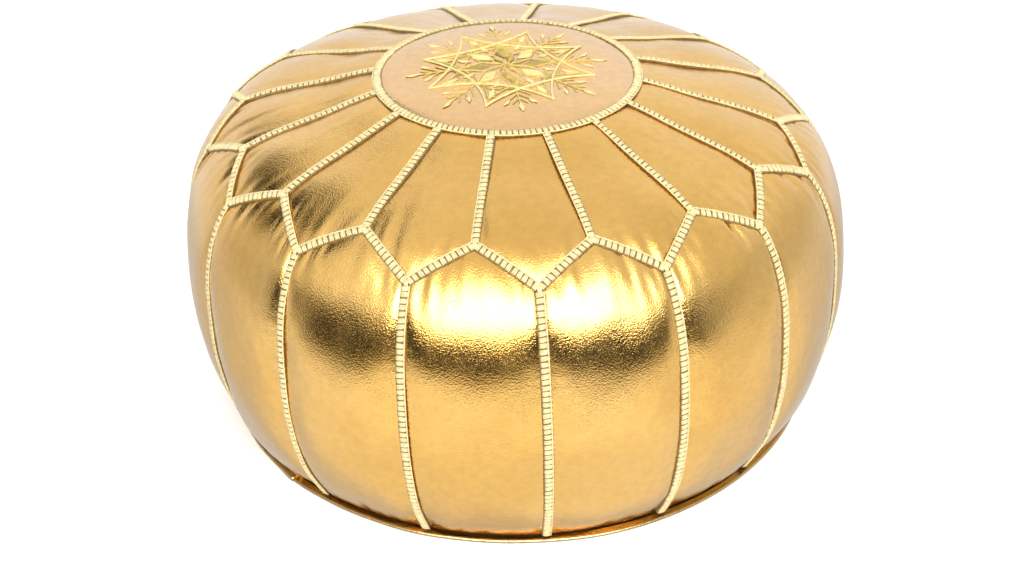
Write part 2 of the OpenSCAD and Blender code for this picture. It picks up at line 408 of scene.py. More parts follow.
def panel_surface(top, i, coarse):
    """The finished outer face of one panel, as a fine grid of points."""
    offset, s = LAYOUTS[top]
    points = refine(coarse, REFINE)
    layout = refine(np.stack((offset, s), axis=-1), REFINE)
    offset, s = layout[..., 0], layout[..., 1]
    border = is_seam(s.shape)
    lift = pucker(top, i, offset, s)
    waves = (0.11, 0.08, 0.06, 0.045, 0.035)
    lift += soft_noise(points, waves, (0.35, 0.3, 0.22, 0.14, 0.08), 11) * MM
    lift[border] = 0
    return points + normals_of(points) * lift[..., None]


def swell(top, i, bulge):
    """The bulge of one panel, freed of tight pulls along its side seams and scaled by
    how hard that panel is stuffed."""
    bulge = bulge.copy()
    for _ in range(6):
        bulge[1:-1] = (bulge[:-2] + 2 * bulge[1:-1] + bulge[2:]) / 4
    stuffed = np.random.default_rng(300 + 2 * i + top).uniform(0.85, 1.15)
    return bulge * stuffed * (0.68 if top else 1.1)


def build_panels(material):
    flat, seams, faces, grids = joined_cover()
    bulge = inflate(flat, seams, faces) - flat
    pieces = []
    for (top, i), index in grids.items():
        surface = panel_surface(top, i, flat[index] + swell(top, i, bulge[index]))
        rows, columns = surface.shape[:2]
        kind = "top" if top else "side"
        panel = mesh_object(f"{kind}_leather_{i:02d}", surface, grid_faces(rows, columns))
        thicken(panel, LEATHER_T)
        finish_piece(panel, material, node=f"{kind}_panel_{i:02d}")
        pieces.append(panel)
    return pieces


# ---------------------------------------------------------------- thread
def joined_rings(index):
    """Quads that join each ring of point numbers to the next one."""
    ahead = np.roll(index, -1, axis=-1)
    quads = np.stack((index[..., :-1, :], ahead[..., :-1, :],
                      ahead[..., 1:, :], index[..., 1:, :]), axis=-1)
    return quads.reshape(-1, 4)


def strand_mesh(centres, up, half_width, half_height, sides=6):
    """Points and faces of many closed tubes. centres and up are (tubes, stations, 3);
    the half sizes are numbers or (tubes, stations) arrays."""
    tubes, stations = centres.shape[:2]
    run = np.gradient(centres, axis=1)
    run /= np.linalg.norm(run, axis=-1)[..., None] + 1e-12
    side = np.cross(run, up)
    side /= np.linalg.norm(side, axis=-1)[..., None] + 1e-12
    rise = np.cross(side, run)
    wide = np.broadcast_to(half_width, (tubes, stations))[..., None, None]
    high = np.broadcast_to(half_height, (tubes, stations))[..., None, None]
    angles = np.arange(sides) * 2 * math.pi / sides
    turn = np.cos(angles)[:, None] * wide * side[:, :, None]
    lift = np.sin(angles)[:, None] * high * rise[:, :, None]
    points = (centres[:, :, None] + turn + lift).reshape(-1, 3)
    index = np.arange(len(points)).reshape(tubes, stations, sides)
    ends = index[:, 0, ::-1].tolist() + index[:, -1].tolist()
    return points, joined_rings(index).tolist() + ends


def merged(name, parts):
    """One mesh object from several (points, faces) parts."""
    points, faces, first = [], [], 0
    for part_points, part_faces in parts:
        points.append(part_points)
        faces += [tuple(first + k for k in face) for face in part_faces]
        first += len(part_points)
    return mesh_object(name, np.vstack(points), faces)


class Route:
    """A line on the cover with its outward normals, read by length."""

    def __init__(self, points, normals):
        steps = np.linalg.norm(np.diff(points, axis=0), axis=1)
        self.at = np.concatenate(([0], np.cumsum(steps)))
        self.length = self.at[-1]
        self.points = points
        self.normals = normals
        self.runs = np.gradient(points, axis=0) / np.gradient(self.at)[:, None]

    def read(self, where):
        """Point, normal and sideways direction at lengths along the line."""
        where = np.asarray(where)
        inside = np.clip(where, 0, self.length)
        point, normal, run = [
            np.stack([np.interp(inside, self.at, values[:, k]) for k in range(3)], axis=-1)
            for values in (self.points, self.normals, self.runs)
        ]
        run /= np.linalg.norm(run, axis=-1)[..., None]
        point = point + run * (where - inside)[..., None]
        sideways = np.cross(run, normal)
        return point, normal, sideways / np.linalg.norm(sideways, axis=-1)[..., None]


STRANDS = np.array((-1, 0, 1))
STRAND_R = 0.73 * MM
STRAND_GAP = 1.2 * MM
ARCH = 1.3 * MM
RAIL_R = 0.62 * MM


def bundles(route, width, margin, looped):
    """The stitches of a ladder braid: bundles of three strands wrapped across the
    seam, narrower at the looped edge."""
    count = max(1, round((route.length - 2 * margin) / STITCH_PITCH))
    pitch = (route.length - 2 * margin) / count
    middle = margin + pitch * (np.arange(count) + 0.5)
    middle = middle + rng.normal(0, 0.03 * pitch, count)
    slant = rng.normal(0.3, 0.12, count) * MM
    size = 1 + rng.normal(0, 0.035, count)
    across = np.linspace(-1, 1, 7)
    waist = 1 - 0.3 * np.clip(looped * across - 0.2, 0, 1)
    along = (middle[:, None, None]
             + STRANDS[None, :, None] * STRAND_GAP * size[:, None, None] * waist
             + slant[:, None, None] * across)
    arch = np.sqrt(np.clip(1 - across**2 * 0.98, 0, 1))
    crown = 1 - 0.2 * np.abs(STRANDS)[None, :, None] + 0 * along
    point, normal, sideways = route.read(along)
    centre = point + sideways * ((width / 2) * across * size[:, None, None])[..., None]
    centre += normal * (ARCH * arch * crown * size[:, None, None])[..., None]
    shape = (count * 3, len(across))
    thick = STRAND_R * (0.7 + 0.3 * arch)
    return pitch, strand_mesh(centre.reshape(*shape, 3), normal.reshape(*shape, 3), thick, thick)


def ladder(route, width=BRAID_W, margin=0.0, looped=1):
    """A ladder braid and the loops that run along one of its edges."""
    pitch, stitches = bundles(route, width, margin, looped)
    stations = max(8, round(route.length / (1.3 * MM)))
    run = np.linspace(0, route.length, stations)
    beat = np.cos(2 * math.pi * (run - margin) / pitch + math.pi)
    point, normal, sideways = route.read(run)
    edge = looped * (width / 2 + 0.25 * MM) * (1 + 0.04 * beat)
    rail = point + sideways * edge[:, None] + normal * ((0.75 + 0.2 * beat) * MM)[:, None]
    return [stitches, strand_mesh(rail[None], normal[None], RAIL_R, RAIL_R)]


def painted_shade_tape(route, width, looped=1):
    """Painted shade: a dark strip under the braid that stands in for the shadow between the
    stitches and along one edge.
    """
    run = np.linspace(0, route.length, max(6, round(route.length / (5 * MM))))
    point, normal, sideways = route.read(run)
    half = width / 2
    strip = []
    for aside, high in ((half + 0.6 * MM, 0.3), (half - 0.6 * MM, 0.75),
                        (-half + 0.4 * MM, 0.75), (-half - 0.2 * MM, 0.1)):
        strip.append(point - looped * aside * sideways + high * MM * normal)
    points = np.stack(strip + [row - 2.2 * MM * normal for row in reversed(strip)], axis=1)
    rows, size = points.shape[:2]
    index = np.arange(rows * size).reshape(rows, size)
    quads = joined_rings(index)[:, ::looped].tolist()
    ends = [index[0, ::-looped].tolist(), index[-1, ::looped].tolist()]
    return points.reshape(-1, 3), quads + ends


SINK = -SEAM_SINK
BRAID_LIFT = SINK + 1.4 * MM


def cover_route(s, turn, lift=BRAID_LIFT):
    """A route over the cover, from outline lengths and azimuths."""
    s, turn = np.broadcast_arrays(s, turn)
    return Route(place(s, turn, lift), facing(s, turn))


def ring_route():
    return cover_route(RING_S, np.linspace(FRONT, FRONT + 2 * math.pi, 721))


def radial_route(i):
    return cover_route(np.linspace(RING_S + 3.9 * MM, PEAK_S - 1.5 * MM, 60), peak_azimuth(i))


def shoulder_route(i, hand):
    from_peak = np.linspace(0.0, HALF, 40)
    return cover_route(zigzag_s(from_peak), peak_azimuth(i) + hand * from_peak)


def side_route(i):
    return cover_route(np.linspace(DIP_S + 2 * MM, FOOT_S - 1 * MM, 120), dip_azimuth(i))


WIDTHS = {"medallion_braid": 1.0, "radial_braids": 0.82, "shoulder_braid": 0.9,
          "side_braids": 0.91}


def corner_route(azimuth, s):
    """One stitch that ties the braids together where three seams meet."""
    turn = azimuth + np.linspace(-2.7, 2.7, 9) * MM / profile(s)[0]
    return cover_route(s, turn, BRAID_LIFT + 0.5 * MM)


def build_braids(thread, seam):
    """Each group of braids is one piece, with a dark strip of painted seam shadow beneath."""
    groups = {
        "medallion_ring": ("medallion_braid", [(ring_route(), 0.0, 1)]),
        "top_seam": ("radial_braids", [(radial_route(i), 0.0, 1) for i in range(1, PANELS + 1)]),
        "shoulder_zigzag": ("shoulder_braid", [
            (shoulder_route(i, hand), 0.8 * MM, -hand)
            for i in range(1, PANELS + 1) for hand in (-1, 1)]),
    }
    corners = []
    for i in range(1, PANELS + 1):
        for spot in ((peak_azimuth(i), PEAK_S + 0.3 * MM), (dip_azimuth(i), DIP_S - 0.3 * MM)):
            corners += ladder(corner_route(*spot), 0.9 * BRAID_W)[:1]
    for side in ("front", "back"):
        own = [i for i in range(1, PANELS + 1)
               if (math.sin(dip_azimuth(i)) < -1e-6) == (side == "front")]
        groups[f"side_seam_{side}"] = ("side_braids", [(side_route(i), 0.0, -1) for i in own])
    for name, (node, routes) in groups.items():
        braid, tape = corners if node == "shoulder_braid" else [], []
        for route, margin, looped in routes:
            wide = BRAID_W * WIDTHS[node]
            braid += ladder(route, wide, margin, looped)
            # The tape under each braid is painted shade, standing in for the seam's shadow.
            tape.append(painted_shade_tape(route, wide, looped))
        finish_piece(merged(f"{name}_braid", braid), thread, node=node)
        # The tape pieces carry painted seam shadow, not a real tape.
        finish_piece(merged(f"{name}_tape", tape), seam)


# ---------------------------------------------------------------- medallion
STAR_R = 0.67 * RING_R
STAR_TURN = FRONT + math.radians(27)
POINTS = 8


def medallion_lift(r):
    """The disc rises a little inside its sewn rim."""
    rim = RING_R - np.asarray(r)
    return SINK * np.exp(-rim / (5 * MM)) + 0.5 * MM * hump(rim, 25 * MM)


def on_top(x, y, lift=0.0):
    """Points and normals on the medallion above places on the plan."""
    r = np.hypot(x, y)
    s = at_radius(r)
    azimuth = np.arctan2(y, x)
    return place(s, azimuth, medallion_lift(r) + lift), facing(s, azimuth)


def build_medallion(material):
    rings, spokes = 48, 160
    r = RING_R * (np.linspace(0.004, 1, rings) ** 0.8)[:, None]
    turn = np.linspace(0, 2 * math.pi, spokes, endpoint=False)[None]
    points, normals = on_top(r * np.cos(turn), r * np.sin(turn))
    waves = soft_noise(points, (0.12, 0.09, 0.06, 0.04), (0.3, 0.25, 0.18, 0.1), 21) * MM
    rim = RING_R - r + 0 * turn
    waves += 0.12 * MM * hump(rim, 4 * MM) * gathers(turn * RING_R, STITCH_PULLS, 5)
    waves[-1] = 0
    points = points + normals * waves[..., None]
    faces = grid_faces(rings, spokes, around=True)
    faces.append(tuple(range(spokes)))
    disc = mesh_object("medallion_leather", points, faces)
    thicken(disc, LEATHER_T)
    return finish_piece(disc, material, node="top_medallion")


# Painted shade: dark flat shapes under the embroidery that stand in for the shadow round its raised
# threads.
SHADE_UNDERLAY = []


def rope(x, y, radius, pitch):
    """Two twisted strands laid along a line on the medallion, with a dark strip of painted
    shade showing along both sides."""
    centre, normal = on_top(x, y, 0.12 * MM)
    # A dark flat strip of painted shade under the rope.
    SHADE_UNDERLAY.append(strand_mesh(centre[None], normal[None], radius + 0.55 * MM, 0.2 * MM, sides=6))
    parts = []
    steps = np.hypot(np.diff(x), np.diff(y))
    along = np.concatenate(([0], np.cumsum(steps)))
    count = max(6, round(along[-1] / (radius * 1.4)))
    run = np.linspace(0, along[-1], count)
    px, py = np.interp(run, along, x), np.interp(run, along, y)
    across = np.stack((-np.gradient(py), np.gradient(px)), axis=-1)
    across /= np.linalg.norm(across, axis=1)[:, None]
    for phase in (0, math.pi):
        swing = 2 * math.pi * run / pitch + phase
        reach = radius * 0.8 * np.cos(swing)
        height = radius * (0.9 + 0.55 * np.sin(swing))
        centre, normal = on_top(px + across[:, 0] * reach, py + across[:, 1] * reach, height)
        parts.append(strand_mesh(centre[None], normal[None], radius, radius, sides=5))
    return parts


def satin(middle, heading, length, width, gap=0.9 * MM, slant=0.5, radius=0.47 * MM):
    """A leaf filled with strands that cross it side by side."""
    count = max(4, round(length / gap))
    t = (np.arange(count) + 0.5) / count * 2 - 1
    half = width / 2 * (1 - np.abs(t) ** 1.3)
    half = np.maximum(half, 0.35 * MM)
    u = np.linspace(-1, 1, 5)
    ahead = t[:, None] * length / 2 + slant * half[:, None] * u
    aside = half[:, None] * u
    c, s = math.cos(heading), math.sin(heading)
    x = middle[0] + ahead * c - aside * s
    y = middle[1] + ahead * s + aside * c
    t_rim = np.linspace(-1, 1, 9)
    rim = width / 2 * (1 - np.abs(t_rim) ** 1.3) + 0.4 * MM
    spine, up = on_top(middle[0] + t_rim * length / 2 * c, middle[1] + t_rim * length / 2 * s,
                       0.1 * MM)
    # A dark flat shape of painted shade under the leaf.
    SHADE_UNDERLAY.append(strand_mesh(spine[None], up[None], rim[None], 0.2 * MM, sides=6))
    bow = 0.3 * MM + 0.6 * MM * np.sqrt(np.clip(1 - u**2 * 0.95, 0, 1))
    centre, normal = on_top(x, y, bow + 0 * x)
    return strand_mesh(centre, normal, radius, radius * 0.8, sides=5)


def hatch(middle, heading, length, width):
    """A lozenge drawn as spaced strands over a dark shape of painted shade."""
    return satin(middle, heading, length, width, gap=2.0 * MM, slant=0.9, radius=0.34 * MM)


def polar(share, angle):
    """A plan point at a share of the star's reach."""
    r = share * STAR_R
    return r * math.cos(angle), r * math.sin(angle)


def segment(a, b, count=12, bow=0.0):
    """A line between two plan points, bowed towards the middle of the star."""
    t = np.linspace(0, 1, count)
    x, y = a[0] + (b[0] - a[0]) * t, a[1] + (b[1] - a[1]) * t
    mid = np.array(a) + np.array(b)
    mid /= np.linalg.norm(mid)
    pull = bow * 4 * t * (1 - t)
    return x - mid[0] * pull, y - mid[1] * pull


def star_ropes():
    """Two interlaced four-pointed figures, whose sides bow inwards."""
    parts = []
    for k in range(POINTS):
        a = STAR_TURN + k * 2 * math.pi / POINTS
        b = a + 4 * math.pi / POINTS
        reach = 1 + 0.03 * math.cos(3 * a)
        bow = 0.15 * STAR_R * (1 + 0.25 * math.sin(2 * a + 1))
        line = segment(polar(reach, a), polar(reach, b), 40, bow)
        parts += rope(*line, 0.72 * MM, 4.4 * MM)
    return parts


def echo_ropes():
    """A finer line inside each side of the star, and short struts across its points."""
    parts = []
    for k in range(POINTS):
        a = STAR_TURN + k * 2 * math.pi / POINTS
        b = a + 4 * math.pi / POINTS
        line = segment(polar(0.86, a), polar(0.86, b), 34, 0.14 * STAR_R)
        parts += rope(*line, 0.42 * MM, 3.4 * MM)
        for r, spread in ((0.8, 0.07), (0.7, 0.11), (0.62, 0.15)):
            ends = polar(r, a - spread), polar(r, a + spread)
            parts += rope(*segment(*ends, 6), 0.36 * MM, 3 * MM)
    return parts


def inner_star_ropes():
    """The frame of the rosette: a smaller eight-pointed star, and spokes to its points."""
    parts = []
    tip, notch = 0.57, 0.3
    for k in range(POINTS):
        a = STAR_TURN + (k + 0.5) * 2 * math.pi / POINTS
        for hand in (-1, 1):
            b = a + hand * math.pi / POINTS
            parts += rope(*segment(polar(tip, a), polar(notch, b)), 0.5 * MM, 4 * MM)
        spoke = segment(polar(0.02, a), polar(notch, a + math.pi / POINTS))
        parts += rope(*spoke, 0.55 * MM, 4 * MM)
    return parts


def spray_ropes():
    """A stem with pairs of twigs, between each two points of the star."""
    parts = []
    for k in range(POINTS):
        a = STAR_TURN + (k + 0.5) * 2 * math.pi / POINTS
        reach = 1 + 0.05 * math.sin(2.3 * k + 1)
        parts += rope(*segment(polar(0.62, a), polar(0.99 * reach, a)), 0.45 * MM, 4 * MM)
        for start, length, spread in ((0.66, 0.2, 0.8), (0.76, 0.19, 0.72), (0.87, 0.14, 0.65)):
            foot = polar(start * reach, a)
            for hand in (-1, 1):
                twig = a + hand * spread
                end = (foot[0] + length * STAR_R * math.cos(twig),
                       foot[1] + length * STAR_R * math.sin(twig))
                parts += rope(*segment(foot, end, 8), 0.38 * MM, 3.2 * MM)
    return parts


def star_leaves():
    """Satin leaves: in the star's points, at the sprays' ends and in the rosette."""
    parts = []
    for k in range(POINTS):
        a = STAR_TURN + k * 2 * math.pi / POINTS
        between = a + math.pi / POINTS
        parts.append(satin(polar(0.74, a), a, 0.2 * STAR_R, 0.075 * STAR_R))
        reach = 1.08 + 0.05 * math.sin(2.3 * k + 1)
        parts.append(satin(polar(reach, between), between, 0.17 * STAR_R, 0.06 * STAR_R))
        for hand in (-1, 1):
            side = between + hand * 0.16
            heading = between + hand * 0.7
            parts.append(satin(polar(0.93, side), heading, 0.12 * STAR_R, 0.045 * STAR_R))
        if k % 2 == 0:
            parts.append(satin(polar(0.36, between), between, 0.3 * STAR_R, 0.17 * STAR_R))
        parts.append(satin(polar(0.5, a), a, 0.16 * STAR_R, 0.06 * STAR_R))
    return parts


def star_hatching():
    """Hatched lozenges in the rosette, round its middle and between its leaves."""
    parts = []
    for k in range(1, POINTS, 2):
        between = STAR_TURN + (k + 0.5) * 2 * math.pi / POINTS
        parts.append(hatch(polar(0.36, between), between, 0.32 * STAR_R, 0.19 * STAR_R))
    for k in range(POINTS):
        a = STAR_TURN + k * 2 * math.pi / POINTS
        parts.append(hatch(polar(0.17, a), a, 0.18 * STAR_R, 0.09 * STAR_R))
        between = a + math.pi / POINTS
        across = between + math.pi / 2
        parts.append(hatch(polar(0.57, between), across, 0.3 * STAR_R, 0.11 * STAR_R))
    return parts


def build_embroidery(gold, pale, dark):
    ropes = echo_ropes() + inner_star_ropes() + spray_ropes()
    for name, parts, material in (
            ("embroidered_star", star_ropes(), pale),
            ("embroidered_sprays", ropes, gold),
            ("embroidered_leaves", star_leaves(), pale),
            ("embroidered_hatching", star_hatching(), gold),
            # The underlay is painted shade round the raised threads, in the dark colour.
            ("embroidery_painted_shade", SHADE_UNDERLAY, dark)):
        piece = merged(name, parts)
        finish_piece(piece, material, node="medallion_embroidery")


# ---------------------------------------------------------------- welt
LAP_AZIMUTH = math.radians(-147)
LAP_LENGTH = 16 * MM


def build_welt(material):
    """A folded strip round the foot, lapped where its ends meet, and tucked further
    under the side at the front right."""
    fold = WELT_H / 2
    inner = FOOT_R - 6 * MM
    bead = np.radians(np.arange(-90, 91, 22.5))
    section = [(inner, 0.3 * MM), (WELT_OUT - 7 * MM, 0.25 * MM)]
    section += [(WELT_OUT - fold + fold * math.cos(a), fold + fold * math.sin(a)) for a in bead]
    section += [(WELT_OUT - 4.2 * MM, WELT_H - 0.9 * MM), (WELT_OUT - 6.2 * MM, WELT_H - 0.2 * MM),
                (WELT_OUT - 9 * MM, WELT_H - 0.1 * MM), (inner, WELT_H - 0.2 * MM)]
    section = np.array(section)
    stations = 900
    turn = np.linspace(0, 2 * math.pi + LAP_LENGTH / WELT_OUT, stations)
    azimuth = LAP_AZIMUTH + turn
    here = np.stack((np.cos(azimuth), np.sin(azimuth), 0 * azimuth), axis=-1)
    waver = soft_noise(here, (1.9, 1.1, 0.7, 0.42, 0.23), (0.9, 0.7, 0.5, 0.35, 0.2), 31) * MM
    lapping = np.clip((turn - 2 * math.pi) / (LAP_LENGTH / WELT_OUT) + 0.25, 0, 1)
    share = np.clip((section[:, 0] - inner) / (WELT_OUT - inner), 0, 1)
    tucked = 4.5 * MM * np.exp(-((azimuth + math.radians(42)) / math.radians(30)) ** 2)
    r = section[None, :, 0] + (waver - tucked + 1.1 * MM * lapping)[:, None] * share
    raised = 1 + (0.28 * lapping)[:, None] + 0 * r
    z = section[None, :, 1] * raised
    points = np.stack((r * np.cos(azimuth)[:, None], r * np.sin(azimuth)[:, None], z), axis=-1)
    size = len(section)
    index = np.arange(stations * size).reshape(stations, size)
    faces = joined_rings(index)[:, ::-1].tolist() + [index[0].tolist(), index[-1, ::-1].tolist()]
    welt = mesh_object("foot_welt", points, faces)
    return finish_piece(welt, material, node="base_welt")


# ---------------------------------------------------------------- base
BASE_RIM = radii("base_panel_front")[1]
RECESS_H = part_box("zip_tape_front")[0].z - LEATHER_T
ZIP_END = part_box("zip_top_stops")[1].x + 4 * MM
SLOT_HALF = 5.5 * MM


def base_height(r):
    """The base's outer face: on the floor near its rim and drawn up in the middle."""
    t = np.clip((0.72 * POUF_R - r) / (0.12 * POUF_R), 0, 1)
    return RECESS_H * t * t * (3 - 2 * t)


def build_base(material, thread):
    for side, name in ((-1, "front"), (1, "back")):
        columns, rows = 141, 46
        x = BASE_RIM * np.sin(np.linspace(-math.pi / 2, math.pi / 2, columns)) * 0.9999
        inner = np.where(np.abs(x) < ZIP_END, SLOT_HALF, 0.2 * MM)
        outer = np.sqrt(np.maximum(BASE_RIM**2 - x**2, (0.3 * MM) ** 2))
        inner = np.minimum(inner, outer * 0.9)
        share = eased(rows - 1, 0.5)[:, None]
        y = side * (inner + share * (outer - inner))
        r = np.hypot(x, y)
        z = base_height(r)
        points = np.stack((x + 0 * y, y, z), axis=-1)
        rim = BASE_RIM - r
        folds = 0.8 * MM * hump(np.maximum(rim, 0), 12 * MM) * (
            1 + gathers(np.arctan2(y, x) * BASE_RIM, PLEATS, 61)) / 2
        points[..., 2] += np.maximum(folds, 0) * np.clip((rim - 2 * MM) / (6 * MM), 0, 1)
        waves = soft_noise(points, (0.13, 0.09, 0.06), (0.35, 0.3, 0.2), 41) * MM
        points[..., 2] += waves * np.clip(z / RECESS_H, 0, 1) * np.clip(share * 6, 0, 1)
        index_faces = grid_faces(rows, columns)
        half = mesh_object(f"base_leather_{name}", points, index_faces)
        up = half.data.polygons[len(index_faces) // 2].normal.z > 0
        if up:
            half.data.flip_normals()
        thicken(half, LEATHER_T)
        finish_piece(half, material, node=f"base_panel_{name}")
    stitches = []
    pitch, length, row = 4.2 * MM, 2.9 * MM, 8.2 * MM
    spots = np.arange(-ZIP_END + 2 * MM, ZIP_END - 2 * MM, pitch)
    u = np.linspace(-1, 1, 5)
    for side in (-1, 1):
        x = spots[:, None] + u * length / 2
        z = base_height(np.abs(x)) - 0.1 * MM - 0.25 * MM * np.sqrt(1 - u**2 * 0.95)
        centre = np.stack((x, np.full_like(x, side * row), z), axis=-1)
        up = np.zeros_like(centre)
        up[..., 2] = -1
        stitches.append(strand_mesh(centre, up, 0.32 * MM, 0.3 * MM, sides=5))
    finish_piece(merged("zip_topstitching", stitches), thread)


# ---------------------------------------------------------------- inside
def revolve(name, s_values, lift, floor_z, seed, lumps):
    """A closed skin inside the cover, flat underneath, with soft lumps."""
    spokes = 144
    turn = np.linspace(0, 2 * math.pi, spokes, endpoint=False)
    s, azimuth = np.meshgrid(s_values, turn, indexing="ij")
    points = place(s, azimuth, lift)
    bumps = soft_noise(points, (0.12, 0.08, 0.06, 0.045, 0.03), (1, 0.8, 0.7, 0.5, 0.4), seed)
    points += facing(s, azimuth) * (np.minimum(bumps * lumps, 0.0))[..., None]
    points[..., 2] = np.maximum(points[..., 2], floor_z)
    faces = grid_faces(len(s_values), spokes, around=True)
    faces.append(tuple(range(spokes)))
    last = (len(s_values) - 1) * spokes
    faces.append(tuple(last + k for k in reversed(range(spokes))))
    return mesh_object(name, points, faces)


def build_inside(cotton, wadding):
    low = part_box("lining_base")[0].z
    s_values = np.linspace(0.002, at_height(low), 60)
    bag = revolve("lining_bag", s_values, SINK - LEATHER_T - 1.0 * MM, low, seed=51, lumps=0.4 * MM)
    finish_piece(bag, cotton, node=["lining_upper", "lining_base"])
    fill = revolve("cotton_filling", s_values, SINK - LEATHER_T - 3.5 * MM, low + 2 * MM,
                   seed=52, lumps=2.5 * MM)
    finish_piece(fill, wadding, node="stuffing")


# ---------------------------------------------------------------- materials
class Tree:
    """A node tree, with what the materials and the sky both use."""

    def __init__(self, tree):
        self.tree = tree

    def add(self, kind, **values):
        """A new node, with its own settings and its sockets' values by name."""
        node = self.tree.nodes.new(kind)
        for key, value in values.items():
            if hasattr(node, key):
                setattr(node, key, value)
            else:
                node.inputs[key.replace("_", " ")].default_value = value
        return node

    def link(self, output, target):
        self.tree.links.new(output, target)

    def feed(self, *pairs):
        """Gives each socket an output, a number or a colour."""
        for value, socket in pairs:
            if isinstance(value, bpy.types.NodeSocket):
                self.link(value, socket)
            else:
                socket.default_value = (*value, 1) if isinstance(value, tuple) else value

    def maths(self, operation, a, b=0.0):
        node = self.add("ShaderNodeMath", operation=operation)
        self.feed((a, node.inputs[0]), (b, node.inputs[1]))
        return node.outputs[0]


class Nodes(Tree):
    """Builds one material's node tree."""

    def __init__(self, name, **sockets):
        self.material = bpy.data.materials.new(name)
        self.material.use_nodes = True
        super().__init__(self.material.node_tree)
        self.shader = self.tree.nodes["Principled BSDF"]
        for socket, value in sockets.items():
            self.shader.inputs[socket.replace("_", " ")].default_value = value
        self.place = self.add("ShaderNodeTexCoord").outputs["Object"]

    def noise(self, scale, detail=2.0, roughness=0.5, distortion=0.0):
        node = self.add("ShaderNodeTexNoise", Scale=scale, Detail=detail, Roughness=roughness,
                        Distortion=distortion)
        self.link(self.place, node.inputs["Vector"])
        return node.outputs["Fac"]

    def cells(self, scale, feature="F1"):
        node = self.add("ShaderNodeTexVoronoi", feature=feature, Scale=scale)
        self.link(self.place, node.inputs["Vector"])
        return node.outputs["Distance"]

    def ramp(self, factor, *stops):
        node = self.add("ShaderNodeValToRGB")
        elements = node.color_ramp.elements
        while len(elements) < len(stops):
            elements.new(0.5)
        for element, (position, color) in zip(elements, stops):
            element.position = position
            element.color = (*color, 1)
        self.link(factor, node.inputs["Fac"])
        return node.outputs["Color"]

    def mapped(self, value, low, high, start=0.3, end=0.7):
        node = self.add("ShaderNodeMapRange", From_Min=start, From_Max=end, To_Min=low, To_Max=high)
        self.link(value, node.inputs["Value"])
        return node.outputs["Result"]

    def mix(self, factor, a, b, blend="MIX"):
        node = self.add("ShaderNodeMix", data_type="RGBA", blend_type=blend)
        self.feed((factor, node.inputs[0]), (a, node.inputs[6]), (b, node.inputs[7]))
        return node.outputs[2]

    def bump(self, height, distance, strength=1.0, after=None):
        node = self.add("ShaderNodeBump", Strength=strength, Distance=distance)
        self.link(height, node.inputs["Height"])
        if after:
            self.link(after, node.inputs["Normal"])
        return node.outputs["Normal"]

    def done(self, color=None, roughness=None, normal=None):
        for value, socket in ((color, "Base Color"), (roughness, "Roughness"), (normal, "Normal")):
            if value is not None:
                self.link(value, self.shader.inputs[socket])
        return self.material


def gold_leather(name, *tones):
    """Foiled leather: a metal skin with a fine grain under a thin clear coat."""
    n = Nodes(name, Metallic=1.0, Coat_Weight=0.6, Coat_Roughness=0.2)
    broad = n.noise(9, detail=3)
    tone = n.ramp(broad, *zip((0.3, 0.5, 0.7), tones))
    mottle = n.mapped(n.noise(140, detail=4, roughness=0.65), 0.93, 1.05)
    color = n.mix(1.0, tone, mottle, blend="MULTIPLY")
    roughness = n.mapped(n.noise(45, detail=4, roughness=0.6), 0.17, 0.25)
    grain = n.bump(n.cells(780, "SMOOTH_F1"), 0.26 * MM, 0.6)
    pores = n.bump(n.noise(1050, detail=2, roughness=0.6), 0.2 * MM, 0.6, grain)
    creases = n.bump(n.noise(60, detail=3, roughness=0.5, distortion=0.3), 0.4 * MM, 0.2, pores)
    return n.done(color, roughness, creases)


def tan_leather():
    """Plain split leather of the base, matt, its tone varying at random."""
    n = Nodes("base_leather", Metallic=0.0, Specular_IOR_Level=0.35)
    tone = n.ramp(n.noise(14, detail=5, roughness=0.6), (0.3, (0.30, 0.17, 0.075)),
                  (0.55, (0.40, 0.24, 0.11)), (0.75, (0.47, 0.30, 0.15)))
    fibres = n.mapped(n.noise(420, detail=4, roughness=0.7), 0.85, 1.1)
    color = n.mix(1.0, tone, fibres, blend="MULTIPLY")
    roughness = n.mapped(n.noise(90, detail=3), 0.55, 0.75)
    grain = n.bump(n.cells(560), 0.12 * MM, 0.6)
    return n.done(color, roughness, n.bump(n.noise(1100, detail=3), 0.06 * MM, 0.6, grain))


def thread(name, light, dark):
    """Silky thread with fine fibres and a slight change of shade along it."""
    n = Nodes(name, Sheen_Weight=0.15, Sheen_Roughness=0.4, Specular_IOR_Level=0.4)
    color = n.mix(n.mapped(n.noise(260, detail=3, roughness=0.6), 0.0, 1.0), dark, light)
    fibres = n.bump(n.noise(2600, detail=2, roughness=0.6), 0.06 * MM, 0.6)
    return n.done(color, n.mapped(n.noise(400), 0.45, 0.62), fibres)


def woven(name, light, dark, scale):
    """Plain woven cloth: two sets of threads that cross."""
    n = Nodes(name, Sheen_Weight=0.2, Specular_IOR_Level=0.25)
    threads = []
    for direction in ("X", "Y"):
        wave = n.add("ShaderNodeTexWave", bands_direction=direction, Scale=scale, Distortion=0.6)
        n.link(n.place, wave.inputs["Vector"])
        threads.append(wave.outputs["Fac"])
    weave = n.maths("MULTIPLY", *threads)
    stain = n.mapped(n.noise(40, detail=4), 0.0, 0.5)
    color = n.mix(n.maths("ADD", weave, stain), dark, light)
    return n.done(color, n.mapped(n.noise(120), 0.75, 0.9), n.bump(weave, 0.15 * MM, 0.5))


def wadding_cotton():
    n = Nodes("cotton_wadding", Sheen_Weight=0.5, Specular_IOR_Level=0.2)
    color = n.mix(n.mapped(n.noise(60, detail=5), 0.0, 1.0), (0.72, 0.70, 0.64), (0.9, 0.88, 0.83))
    tufts = n.bump(n.noise(180, detail=6, roughness=0.7), 1.5 * MM, 0.7)
    return n.done(color, n.mapped(n.noise(90), 0.85, 1.0), tufts)


